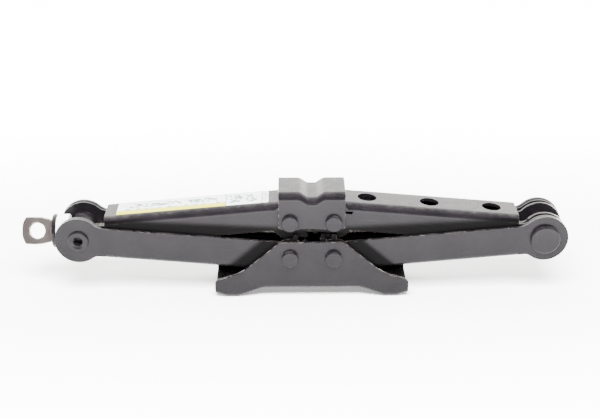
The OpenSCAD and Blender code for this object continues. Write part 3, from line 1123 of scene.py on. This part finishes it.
@dataclass
class BaseBracket:
    """The pressed base: an arched plate with feet, turned-up toes and two tall shaped sides."""

    plan: JackPlan
    finish: DressedFinish
    top_l: float = 50 * MM
    slope_end: float = 56 * MM
    slope_drop: float = 13 * MM
    toe_drop: float = 19.4 * MM
    arch_h: float = 7 * MM
    arch_half_l: float = 38 * MM
    foot_start: float = 57 * MM
    foot_end: float = 67 * MM
    toe_lift: float = 3 * MM
    stations: int = 150

    def underside(self, half_l: float) -> list[Point]:
        """The plate's underside along X, from the base's middle."""
        return rounded_line([
            (-half_l, self.toe_lift, 0.0), (-self.foot_end, 0.0, 12 * MM), (-self.foot_start, 0.0, 12 * MM),
            (-self.arch_half_l, self.arch_h, 20 * MM), (self.arch_half_l, self.arch_h, 20 * MM),
            (self.foot_start, 0.0, 12 * MM), (self.foot_end, 0.0, 12 * MM), (half_l, self.toe_lift, 0.0),
        ])

    def top_edge(self, half_l: float, top: float) -> list[Point]:
        """The sides' free edge along X, from the base's middle."""
        pin = self.plan.base_pin_z
        ends = [
            (half_l, pin - self.toe_drop, 0.0), (self.slope_end, pin - self.slope_drop, 26 * MM),
            (self.top_l / 2, top, 9 * MM),
        ]
        left = [(-x, z, r) for x, z, r in ends]
        return rounded_line([*left, *reversed(ends)])

    def build(self) -> None:
        """Lofts the bracket and puts it in the frame."""
        half_l = extent("base_bracket").x / 2
        under = self.underside(half_l)
        top = self.top_edge(half_l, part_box("base_bracket")[1].z)
        half_w = self.plan.base_w / 2
        sections = []
        for x in spread(-half_l, half_l, self.stations):
            near_end = max(0.0, 2 * MM - (half_l - abs(x)))
            drop = 2 * MM - math.sqrt(max(0.0, (2 * MM) ** 2 - near_end**2))
            edge = height_on(top, x) - drop
            sections.append((self.plan.base_x + x, channel_section(half_w, height_on(under, x), edge, 1)))
        piece = mesh_object("base_sheet", loft(sections))
        soften_edges(piece, 0.5 * MM, 50.0)
        Placement("base", "base_bracket", self.finish).put(piece)


@dataclass
class SaddleCap:
    """The pressed saddle: a deep cap with a groove across its top for the car's sill."""

    plan: JackPlan
    finish: DressedFinish
    mouth_w: float = 19 * MM
    floor_w: float = 6.5 * MM
    depth: float = 4.2 * MM
    corner_r: float = 2 * MM
    bend: float = 6 * MM
    stations: int = 90

    def build(self) -> None:
        """Lofts the saddle and puts it in the frame."""
        low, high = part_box("saddle")
        half_l = (high.x - low.x) / 2
        ends = [
            (half_l, high.z, 0.0), (self.mouth_w / 2, high.z, 6 * MM),
            (self.floor_w / 2, high.z - self.depth, 3.6 * MM),
        ]
        top = rounded_line([*[(-x, z, r) for x, z, r in ends], *reversed(ends)], steps=12)
        sections = []
        for x in spread(-half_l, half_l, self.stations):
            near_end = max(0.0, self.corner_r - (half_l - abs(x)))
            lift = self.corner_r - math.sqrt(max(0.0, self.corner_r**2 - near_end**2))
            half_w = self.plan.saddle_w / 2
            outline = channel_section(half_w, height_on(top, x), low.z + lift, -1, self.bend)
            sections.append((middle("saddle").x + x, outline))
        piece = mesh_object("saddle_sheet", loft(sections))
        soften_edges(piece, 0.5 * MM, 50.0)
        Placement("saddle", "saddle", self.finish).put(piece)


@dataclass
class PressedArm:
    """One of the four channel arms; an upper arm has its flanges sprung slightly open as pressed channels
    are.
    """

    plan: JackPlan
    finish: DressedFinish
    side: Side
    level: Level
    flare: float = 0.5 * MM
    flare_from: float = -6 * MM
    flare_reach: float = 14 * MM
    flare_ends: tuple[float, float] = (12 * MM, 150 * MM)
    flare_eases: tuple[float, float] = (20 * MM, 25 * MM)
    cuts_along: int = 36
    cuts_across: int = 12
    lower_edge: float = 11.5 * MM
    base_top_half: float = 25 * MM
    base_top_rise: float = 13.4 * MM
    base_slope_l: float = 31 * MM
    base_slope_fall: float = 26.4 * MM
    # widths of the painted shade band above the lower arm's top edge and above the base's side
    shade_far: float = 5.5 * MM
    shade_near: float = 12 * MM
    shade_base: float = 13.5 * MM
    soft: float = 2.5 * MM
    web_start: float = 14.3 * MM
    web_end: float = 134 * MM
    weld: float = 0.25 * MM
    rim: float = 0.2 * MM

    @property
    def node(self) -> str:
        """The arm's CAD node."""
        return f"{self.level.name.lower()}_{self.side.name.lower()}_arm"

    @property
    def body(self) -> str:
        """The body that the arm rides on."""
        return f"{self.level.name.lower()}_{self.side.name.lower()}"

    def frame_axes(self) -> tuple[Vector, Vector, Vector]:
        """The arm's own axes.

        Returns:
            The bracket pin's place, the unit vector from it to the trunnion, and the unit vector across the
            arm away from its web.
        """
        pin_z = self.plan.saddle_pin_z if self.level is Level.UPPER else self.plan.base_pin_z
        pin = Vector((self.plan.pin_x(self.side), 0.0, pin_z))
        end = Vector((self.plan.trunnion_x(self.side), 0.0, self.plan.screw_z))
        along = (end - pin).normalized()
        across = Vector((-along.z, 0.0, along.x)) * self.side.value * -self.level.value
        return pin, along, across

    def spring_open(self, bm: bmesh.types.BMesh) -> None:
        """Spreads the flanges a little towards their free edges.

        Args:
            bm: the arm's mesh, with rows of cuts.
        """
        pin, along, across = self.frame_axes()
        half = extent(self.node).y / 2
        for vert in bm.verts:
            offset = vert.co - pin
            u, v = offset.dot(along), offset.dot(across)
            if abs(vert.co.y) < half - SHEET - MERGE or v < self.flare_from:
                continue
            reach = unit((v - self.flare_from) / self.flare_reach)
            ease = unit((u - self.flare_ends[0]) / self.flare_eases[0])
            ease *= unit((self.flare_ends[1] - u) / self.flare_eases[1])
            vert.co.y += math.copysign(self.flare * reach * reach * ease, vert.co.y)

    def shade_of(self, place: Vector) -> float:
        """How far a point of the outer side lies below the top of the painted shade band, a line above the
        edge of the part in front of it: the lower arm's top edge for an upper arm, the base's side for a
        lower arm.

        Args:
            place: the point.

        Returns:
            Its depth under the line, in metres, negative above it.
        """
        if self.level is Level.UPPER:
            pin, along, across = PressedArm(self.plan, self.finish, self.side, Level.LOWER).frame_axes()
            offset = place - pin
            near_pin = 1.0 - unit(offset.dot(along) / self.plan.trunnion_half)
            reach = self.shade_far + (self.shade_near - self.shade_far) * near_pin
            return reach - (offset.dot(across) - self.lower_edge)
        out = abs(place.x - self.plan.base_x) - self.base_top_half
        edge = self.base_top_rise - max(0.0, out) * self.base_slope_fall / self.base_slope_l
        return self.shade_base - (place.z - self.plan.base_pin_z - edge)

    def mark_painted_shade(self, bm: bmesh.types.BMesh) -> None:
        """Marks painted shade on the outer sides, a soft dark band above the edge of the part in front of
        them, as a point attribute.

        Args:
            bm: the arm's mesh, with rows of cuts.
        """
        painted_shade = bm.verts.layers.float.get("painted_shade")
        half = extent(self.node).y / 2
        for vert in bm.verts:
            if abs(vert.co.y) < half - SHEET / 2:
                continue
            share = unit(0.5 + self.shade_of(vert.co) / (2 * self.soft))
            vert[painted_shade] = share * share * (3 - 2 * share)

    def build(self) -> None:
        """Copies the arm, shapes it and puts it in the frame."""
        pin, along, across = self.frame_axes()
        bm = copy_of(self.node)
        bm.verts.layers.float.new("painted_shade")
        reach = 150 * MM if self.level is Level.UPPER else 84 * MM
        ends = [v for v in bm.verts if not self.web_start < (v.co - pin).dot(along) < self.web_end]
        bmesh.ops.remove_doubles(bm, verts=ends, dist=self.weld)
        slice_along(bm, pin, along, self.web_start, reach, self.cuts_along)
        slice_along(bm, pin, across, -14 * MM, 10 * MM, self.cuts_across)
        # painted shade: dark bands on the outer sides next to the parts in front of them
        self.mark_painted_shade(bm)
        if self.level is Level.UPPER:
            self.spring_open(bm)
        piece = mesh_object(f"{self.node}_pressing", bm)
        soften_edges(piece, self.rim, 34.0)
        Placement(self.body, self.node, self.finish).put(piece)


@dataclass
class NutStiffener:
    """The short inner channel under the upper right arm's web, whose ears hold the nut."""

    finish: DressedFinish

    def build(self) -> None:
        """Copies the stiffener, softens its edges and puts it in the frame."""
        piece = mesh_object("nut_stiffener", copy_of("upper_right_stiffener"))
        soften_edges(piece, 0.35 * MM, 34.0)
        Placement("upper_right", "upper_right_stiffener", self.finish).put(piece)


@dataclass
class BracketPins:
    """The four riveted pins of the base and the saddle."""

    finish: DressedFinish
    head_h: float = 3.8 * MM
    rim_r: float = 0.9 * MM
    shank_r: float = 4.5 * MM
    segments: int = 64

    def half_profile(self, half_l: float, head_r: float) -> list[Point]:
        """One end of a pin, from its face inwards.

        Args:
            half_l: distance from the pin's middle to the face.
            head_r: radius of its head.

        Returns:
            Points (distance from the middle, radius).
        """
        rim = arc((half_l - self.rim_r, head_r - self.rim_r), self.rim_r, 4.0, 90.0, 6)
        seat = half_l - self.head_h
        return [(half_l, head_r - self.rim_r), *rim, (seat, head_r), (seat - 0.01 * MM, self.shank_r)]

    def build(self) -> None:
        """Makes each pin with the rivet tree and puts it in the frame."""
        tree = rivet_tree()
        for body in ("base", "saddle"):
            for side in Side:
                node = f"{body}_{side.name.lower()}_pin"
                size = extent(node)
                half = self.half_profile(size.y / 2, size.z / 2)
                profile = half + [(-y, r) for y, r in reversed(half)]
                place = middle(node)
                bm = bmesh.new()
                girth = bm.verts.layers.float.new("girth")
                verts = []
                for y, radius in profile:
                    vert = bm.verts.new((place.x, y, place.z))
                    vert[girth] = radius
                    verts.append(vert)
                for first, second in zip(verts, verts[1:]):
                    bm.edges.new((first, second))
                piece = mesh_object(f"{node}_rivet", bm)
                tree.make(piece, {"Segments": self.segments, "Material": self.finish.material})
                piece.data.set_sharp_from_angle(angle=math.radians(40))
                Placement(body, node, self.finish).put(piece)


@dataclass
class Trunnions:
    """The cross pins: the left one with hollow flared ends, the right one with large round caps."""

    plan: JackPlan
    finish: DressedFinish
    flare_h: float = 2 * MM
    rim_r: float = 0.9 * MM
    socket_r: float = 3.5 * MM
    socket_depth: float = 7 * MM
    journal_r: float = 7 * MM
    barrel_r: float = 10.5 * MM
    barrel_gap: float = 2.8 * MM
    flat: float = 9 * MM

    def left(self) -> None:
        """Turns the left trunnion, with a flat for the thrust bearing."""
        size = extent("left_trunnion")
        face = size.y / 2
        flare_r = size.z / 2 if size.z / 2 < 9 * MM else 8.1 * MM
        ear = face - self.flare_h
        barrel = self.plan.upper_w / 2 - self.barrel_gap
        end = [
            (face - self.socket_depth, 0.0), (face - self.socket_depth, self.socket_r),
            (face - 1.3 * MM, self.socket_r), (face - 0.9 * MM, self.socket_r + 0.3 * MM),
            (face - 0.5 * MM, 5.6 * MM), (face, 6.9 * MM),
            *arc((face - self.rim_r, flare_r - self.rim_r), self.rim_r, 15.0, 90.0, 5),
            (ear, flare_r), (ear, self.journal_r), (barrel, self.journal_r),
            (barrel, self.barrel_r - 0.5 * MM), (barrel - 0.5 * MM, self.barrel_r),
        ]
        profile = end + [(-y, r) for y, r in reversed(end)]
        centre = Vector((self.plan.trunnion_x(Side.LEFT), 0.0, self.plan.screw_z))
        bm = turned(profile, centre, Axis.Y)
        for vert in bm.verts:
            if abs(vert.co.y) < barrel + MERGE:
                vert.co.x = max(vert.co.x, centre.x - self.flat)
        piece = mesh_object("left_trunnion_turning", bm)
        piece.data.set_sharp_from_angle(angle=math.radians(35))
        Placement("left_trunnion", "left_trunnion", self.finish).put(piece)

    def caps(self) -> None:
        """Turns the two caps of the right trunnion."""
        for node, way in (("right_front_cap", -1), ("right_rear_cap", 1)):
            low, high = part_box(node)
            radius = (high.z - low.z) / 2
            seat, face = (high.y, low.y) if way < 0 else (low.y, high.y)
            crown = 0.35 * MM * way
            rim = 1.1 * MM
            profile = [(face, 0.0), (face - crown * 0.1, radius * 0.45),
                       (face - crown * 0.6, radius - rim - 0.6 * MM)]
            for along, across in arc((0.0, radius - rim), rim, 14.0, 90.0, 5):
                profile.append((face - crown - way * (rim - along), across))
            profile += [(seat, radius), (seat, self.journal_r - 0.5 * MM), (seat, 0.0)]
            centre = Vector((self.plan.trunnion_x(Side.RIGHT), 0.0, self.plan.screw_z))
            piece = mesh_object(f"{node}_turning", turned(profile, centre, Axis.Y, 96))
            piece.data.set_sharp_from_angle(angle=math.radians(35))
            Placement("right_trunnion", node, self.finish).put(piece)

    def build(self) -> None:
        """Makes both trunnions' pieces."""
        self.left()
        self.caps()
        self.finish.dress_node("right_trunnion")
        log.info("right_trunnion stays, with a new finish")


@dataclass
class ScrewLine:
    """The lead screw with its eye, collar, thrust bearing and stop."""

    plan: JackPlan
    shelf: FinishShelf
    end_gap: float = 0.6 * MM
    lead: float = 3 * MM
    root_r: float = 4.7 * MM
    plain_l: float = 24 * MM
    steps: int = 22

    def ring(self, name: str, node: str, body: str, rim_r: float, finish: DressedFinish) -> None:
        """Turns a bored ring about the screw.

        Args:
            name: the piece's name.
            node: the CAD node that it stands for.
            body: the body that it rides on.
            rim_r: rounding of its outer edges.
            finish: its finish.
        """
        low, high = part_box(node)
        half, radius, bore = (high.x - low.x) / 2, (high.z - low.z) / 2, 6.05 * MM
        small = 0.4 * MM
        profile = [
            (-half, bore + small), *reversed(arc((-half + rim_r, radius - rim_r), rim_r, 90.0, 180.0, 6)),
            *reversed(arc((half - rim_r, radius - rim_r), rim_r, 0.0, 90.0, 6)),
            (half, bore + small), (half - small, bore), (-half + small, bore), (-half, bore + small),
        ]
        piece = mesh_object(name, turned(profile, middle(node), Axis.X, 96))
        piece.data.set_sharp_from_angle(angle=math.radians(38))
        Placement(body, node, finish).put(piece)

    def threaded_rod(self) -> None:
        """Winds the screw's thread and joins its plain end to it."""
        low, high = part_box("lead_screw")
        crest = (high.z - low.z) / 2
        tree = thread_tree()
        start = low.x + self.plain_l
        piece = mesh_object("lead_screw_threaded", bmesh.new())
        tree.make(piece, {
            "Start": start, "Length": high.x - start - self.end_gap, "Height": self.plan.screw_z,
            "Lead": self.lead, "Crest Radius": crest, "Root Radius": self.root_r, "Steps": self.steps,
            "Material": self.shelf.screw_steel.material,
        })
        bm = bmesh.new()
        bm.from_mesh(piece.data)
        far = high.x - low.x
        plain = turned([
            (0.0, 0.0), (0.0, crest - 0.5 * MM), (0.5 * MM, crest), (self.plain_l - 0.8 * MM, crest),
            (self.plain_l + 0.6 * MM, self.root_r), (self.plain_l + 0.6 * MM, 0.0),
        ], Vector((low.x, 0.0, self.plan.screw_z)), Axis.X, 40)
        tip = turned([
            (far - 1.2 * MM, 0.0), (far - 1.2 * MM, self.root_r), (far - 0.5 * MM, self.root_r),
            (far, self.root_r - 0.5 * MM), (far, 0.0),
        ], Vector((low.x, 0.0, self.plan.screw_z)), Axis.X, 40)
        for extra in (plain, tip):
            side = bpy.data.meshes.new("side")
            extra.to_mesh(side)
            extra.free()
            bm.from_mesh(side)
            bpy.data.meshes.remove(side)
        for vert in bm.verts:
            vert.co.x = min(vert.co.x, high.x)
            reach = math.hypot(vert.co.y, vert.co.z - self.plan.screw_z)
            if reach > crest:
                vert.co.y *= crest / reach
                vert.co.z = self.plan.screw_z + (vert.co.z - self.plan.screw_z) * crest / reach
        for face in bm.faces:
            face.smooth = True
        bm.to_mesh(piece.data)
        bm.free()
        piece.data.set_sharp_from_angle(angle=math.radians(30))
        Placement("screw", "lead_screw", self.shelf.screw_steel).put(piece)

    def eye(self) -> None:
        """Copies the forged eye and softens its edges."""
        piece = mesh_object("screw_eye_forging", copy_of("screw_eye"))
        soften_edges(piece, 0.9 * MM, 40.0, 4)
        Placement("screw", "screw_eye", self.shelf.eye_paint).put(piece)

    def build(self) -> None:
        """Makes the screw's pieces."""
        self.threaded_rod()
        self.eye()
        self.ring("thrust_collar_turning", "thrust_collar", "screw", 1.3 * MM, self.shelf.pin_paint)
        self.ring("thrust_bearing_ring", "thrust_bearing", "left_trunnion", 0.7 * MM, self.shelf.zinc)
        self.ring("screw_stop_ring", "screw_stop", "screw", 0.5 * MM, self.shelf.pin_paint)


@dataclass
class InstructionLabel:
    """The printed film on the upper left arm's web, with plain panels in place of its print."""

    plan: JackPlan
    finish: DressedFinish
    width: float = 22.4 * MM
    length: float = 119 * MM
    from_trunnion: float = 30.6 * MM
    web_rise: float = 15.2 * MM
    lift: float = 0.02 * MM
    thickness: float = 0.2 * MM
    corner: float = 1.2 * MM

    def build(self) -> None:
        """Cuts the film with rounded corners, maps it and puts it in the frame."""
        arm = PressedArm(self.plan, self.finish, Side.LEFT, Level.UPPER)
        _, along, across = arm.frame_axes()
        trunnion = Vector((self.plan.trunnion_x(Side.LEFT), 0.0, self.plan.screw_z))
        inwards, up = -along, -across
        start = trunnion + inwards * self.from_trunnion + up * (self.web_rise + self.lift)
        sideways = Vector((0.0, 1.0, 0.0))
        corners = [
            (self.corner, self.corner, 180.0), (self.length - self.corner, self.corner, 270.0),
            (self.length - self.corner, self.width - self.corner, 0.0),
            (self.corner, self.width - self.corner, 90.0),
        ]
        outline = [p for u, v, a in corners for p in arc((u, v), self.corner, a, a + 90.0, 4)]
        bm = bmesh.new()
        film = bm.loops.layers.uv.new("film")
        levels = []
        for height in (0.0, self.thickness):
            levels.append([
                bm.verts.new(start + inwards * u + sideways * (v - self.width / 2) + up * height)
                for u, v in outline
            ])
        count = len(outline)
        bm.faces.new(levels[1])
        bm.faces.new(list(reversed(levels[0])))
        for i in range(count):
            j = (i + 1) % count
            bm.faces.new((levels[0][i], levels[0][j], levels[1][j], levels[1][i]))
        bmesh.ops.recalc_face_normals(bm, faces=bm.faces)
        for face in bm.faces:
            for loop in face.loops:
                offset = loop.vert.co - start
                loop[film].uv = (offset.dot(inwards) / self.length, offset.y / self.width + 0.5)
        piece = mesh_object("instruction_film", bm)
        piece.data.set_sharp_from_angle(angle=math.radians(30))
        Placement("upper_left", "instruction_label", self.finish).put(piece)


@dataclass
class CarJack:
    """The whole jack."""

    plan: JackPlan
    shelf: FinishShelf

    def build(self) -> None:
        """Builds every sub-assembly in order."""
        BaseBracket(self.plan, self.shelf.paint).build()
        for level in Level:
            for side in Side:
                PressedArm(self.plan, self.shelf.paint, side, level).build()
        NutStiffener(self.shelf.paint).build()
        SaddleCap(self.plan, self.shelf.paint).build()
        BracketPins(self.shelf.pin_paint).build()
        Trunnions(self.plan, self.shelf.pin_paint).build()
        ScrewLine(self.plan, self.shelf).build()
        InstructionLabel(self.plan, self.shelf.film).build()


# ---- Studio ----


@dataclass(frozen=True)
class Lamp:
    """A flat lamp that points at the jack: its size and place in metres, and whether the paint mirrors it."""

    name: str
    size: tuple[float, float]
    power: float
    place: tuple[float, float, float]
    mirrored: bool


@dataclass
class Studio:
    """Plain pale floor, soft light from above and behind, and the camera."""

    lens: float = 76.34
    azimuth_deg: float = -0.52
    elevation_deg: float = 22.95
    roll_deg: float = -0.083
    distance: float = 1000 * MM
    target: Vector = field(default_factory=lambda: Vector((5.17 * MM, 0.0, 65.71 * MM)))
    glow: tuple[float, float] = (0.4, 11.0)
    glow_edge: tuple[float, float] = (0.09, 0.5)
    glow_squash: tuple[float, float, float] = (0.45, 1.0, 1.0)
    behind: tuple[float, float] = (0.12, 7.6)
    behind_edge: tuple[float, float] = (-0.25, 0.35)
    above: tuple[float, float] = (0.0, 3.0)
    above_edge: tuple[float, float] = (0.7, 0.92)
    floor_half: float = 6.0
    top_lamp: Lamp = Lamp("top_lamp", (0.9, 0.5), 150.0, (0.0, -0.65, 1.0), False)

    def camera(self) -> None:
        """Makes the camera and gives it to the scene."""
        a, e, roll = (math.radians(v) for v in (self.azimuth_deg, self.elevation_deg, self.roll_deg))
        back = Vector((math.sin(a) * math.cos(e), -math.cos(a) * math.cos(e), math.sin(e)))
        right = (-back).cross(Vector((0.0, 0.0, 1.0))).normalized()
        up = right.cross(-back)
        x_axis = right * math.cos(roll) + up * math.sin(roll)
        y_axis = -right * math.sin(roll) + up * math.cos(roll)
        data = bpy.data.cameras.new("camera")
        data.sensor_width = 36.0
        data.lens = self.lens
        data.clip_start, data.clip_end = 0.01, 50.0
        camera = bpy.data.objects.new("camera", data)
        place = self.target + back * self.distance
        rows = [[x_axis[i], y_axis[i], back[i], place[i]] for i in range(3)]
        camera.matrix_world = Matrix([*rows, [0.0, 0.0, 0.0, 1.0]])
        bpy.context.scene.collection.objects.link(camera)
        bpy.context.scene.camera = camera

    def floor(self) -> None:
        """Makes the pale floor, which glows a little so that shadows on it stay light."""
        bm = bmesh.new()
        half = self.floor_half
        corners = ((-half, -half), (half, -half), (half, half), (-half, half))
        bm.faces.new([bm.verts.new((x, y, 0.0)) for x, y in corners])
        floor = mesh_object("studio_floor", bm)
        sheet = MaterialSheet("studio_floor")
        sheet.fix(Base_Color=(0.86, 0.86, 0.86, 1.0), Roughness=0.9, Specular_IOR_Level=0.1,
                  Emission_Color=(1.0, 0.995, 0.985, 1.0))
        squash = sheet.node("ShaderNodeMapping")
        squash.inputs["Scale"].default_value = self.glow_squash
        sheet.join(sheet.node("ShaderNodeTexCoord").outputs["Object"], squash.inputs["Vector"])
        away = sheet.node("ShaderNodeVectorMath", operation="LENGTH")
        sheet.join(squash.outputs[0], away.inputs[0])
        sheet.feed("Emission Strength", sheet.ramp(away.outputs["Value"], *self.glow_edge, self.glow))
        floor.data.materials.append(sheet.material)

    def lamps(self) -> None:
        """Makes the lamp above the jack, whose light throws the soft shadow behind it."""
        lamp = self.top_lamp
        data = bpy.data.lights.new(lamp.name, "AREA")
        data.shape = "RECTANGLE"
        data.size, data.size_y = lamp.size
        data.energy = lamp.power
        light = bpy.data.objects.new(lamp.name, data)
        place = Vector(lamp.place)
        light.location = place
        light.rotation_euler = (Vector((0.0, 0.0, 0.04)) - place).to_track_quat("-Z", "Y").to_euler()
        light.visible_glossy = lamp.mirrored
        bpy.context.scene.collection.objects.link(light)

    def surroundings(self) -> None:
        """Makes the room: bright above and behind the jack, dark in front of it."""
        world = bpy.data.worlds.new("room")
        world.use_nodes = True
        bench = NodeBench(world.node_tree)
        bench.tree.nodes.clear()
        split = bench.node("ShaderNodeSeparateXYZ")
        bench.join(bench.node("ShaderNodeTexCoord").outputs["Generated"], split.inputs[0])
        behind = bench.ramp(split.outputs["Y"], *self.behind_edge, self.behind)
        above = bench.ramp(split.outputs["Z"], *self.above_edge, self.above)
        glow = bench.node("ShaderNodeBackground")
        glow.inputs["Color"].default_value = (1.0, 0.985, 0.96, 1.0)
        bench.join(bench.math("MAXIMUM", behind, above), glow.inputs["Strength"])
        bench.join(glow.outputs[0], bench.node("ShaderNodeOutputWorld").inputs[0])
        bpy.context.scene.world = world

    def build(self) -> None:
        """Makes the camera, the floor and the light."""
        self.camera()
        self.floor()
        self.lamps()
        self.surroundings()
        log.info("studio is set")


def main() -> None:
    """Builds the studio and the jack around the frame."""
    logging.basicConfig(level=logging.INFO, format="%(name)s: %(message)s")
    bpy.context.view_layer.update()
    Studio().build()
    CarJack(JackPlan.from_frame(), FinishShelf()).build()
    bpy.context.view_layer.update()


if __name__ == "__main__":
    main()
